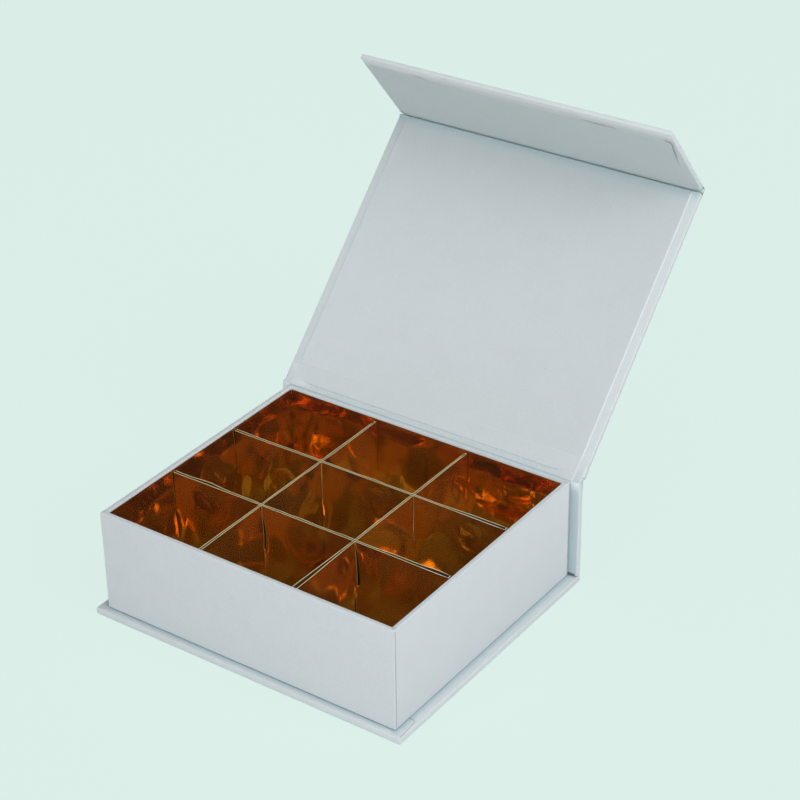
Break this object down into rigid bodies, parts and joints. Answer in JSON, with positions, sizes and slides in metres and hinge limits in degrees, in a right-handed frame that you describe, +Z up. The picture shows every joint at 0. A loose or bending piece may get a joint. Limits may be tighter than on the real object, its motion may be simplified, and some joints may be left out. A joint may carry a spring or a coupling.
{
  "type": "chocolate box",
  "caption": "Book-style rigid chocolate box: paper-wrapped tray on a wrapped case with hinged lid, magnetic front flap and a gold card insert of crossed dividers.",
  "frame": {"origin": "on the case base's underside, under the middle of the tray", "axes": "+X to the right along the spine as seen from the front, +Y to the back where the lid is hinged, +Z up"},
  "size_m": [0.127, 0.1863, 0.1508],
  "materials": {
    "case_paper": "matt uncoated pale blue-grey wrapping paper",
    "tray_paper": "matt uncoated pale blue-grey wrapping paper",
    "lining_paper": "matt pale blue-grey lining sheet",
    "greyboard": "raw grey binder's board",
    "gummed_tape": "brown gummed corner tape",
    "gold_card": "mirror gold foil on both faces, pale cut edges",
    "magnet_metal": "nickel-plated discs, sealed under the paper"
  },
  "bodies": {
    "base": {"base_board": "greyboard", "base_wrap": "case_paper", "spine_board": "greyboard", "spine_wrap": "case_paper", "spine_liner": "lining_paper", "lid_hinge_strip": "case_paper", "tray_floor": "greyboard", "tray_front_wall": "greyboard", "tray_back_wall": "greyboard", "tray_left_wall": "greyboard", "tray_right_wall": "greyboard", "corner_tapes": "gummed_tape", "tray_wrap": "tray_paper", "closure_disc_left": "magnet_metal", "closure_disc_right": "magnet_metal", "insert_lining": "gold_card", "long_divider_front": "gold_card", "long_divider_rear": "gold_card", "cross_divider_left": "gold_card", "cross_divider_right": "gold_card"},
    "lid": {"lid_board": "greyboard", "lid_wrap": "case_paper", "lid_liner": "lining_paper", "flap_hinge_strip": "case_paper"},
    "flap": {"flap_board": "greyboard", "flap_wrap": "case_paper", "flap_liner": "lining_paper", "flap_magnet_left": "magnet_metal", "flap_magnet_right": "magnet_metal"}
  },
  "joints": [
    {"name": "lid_hinge", "type": "hinge", "parent": "base", "child": "lid", "pos_m": [0, 0.05462, 0.04185], "axis": [1, 0, 0], "range_deg": [-46, 134], "deforming": ["lid_hinge_strip"]},
    {"name": "flap_hinge", "type": "hinge", "parent": "lid", "child": "flap", "pos_m": [0, 0.13188, 0.1197], "axis": [1, 0, 0], "range_deg": [-83.7, 6.3], "deforming": ["flap_hinge_strip"]}
  ]
}
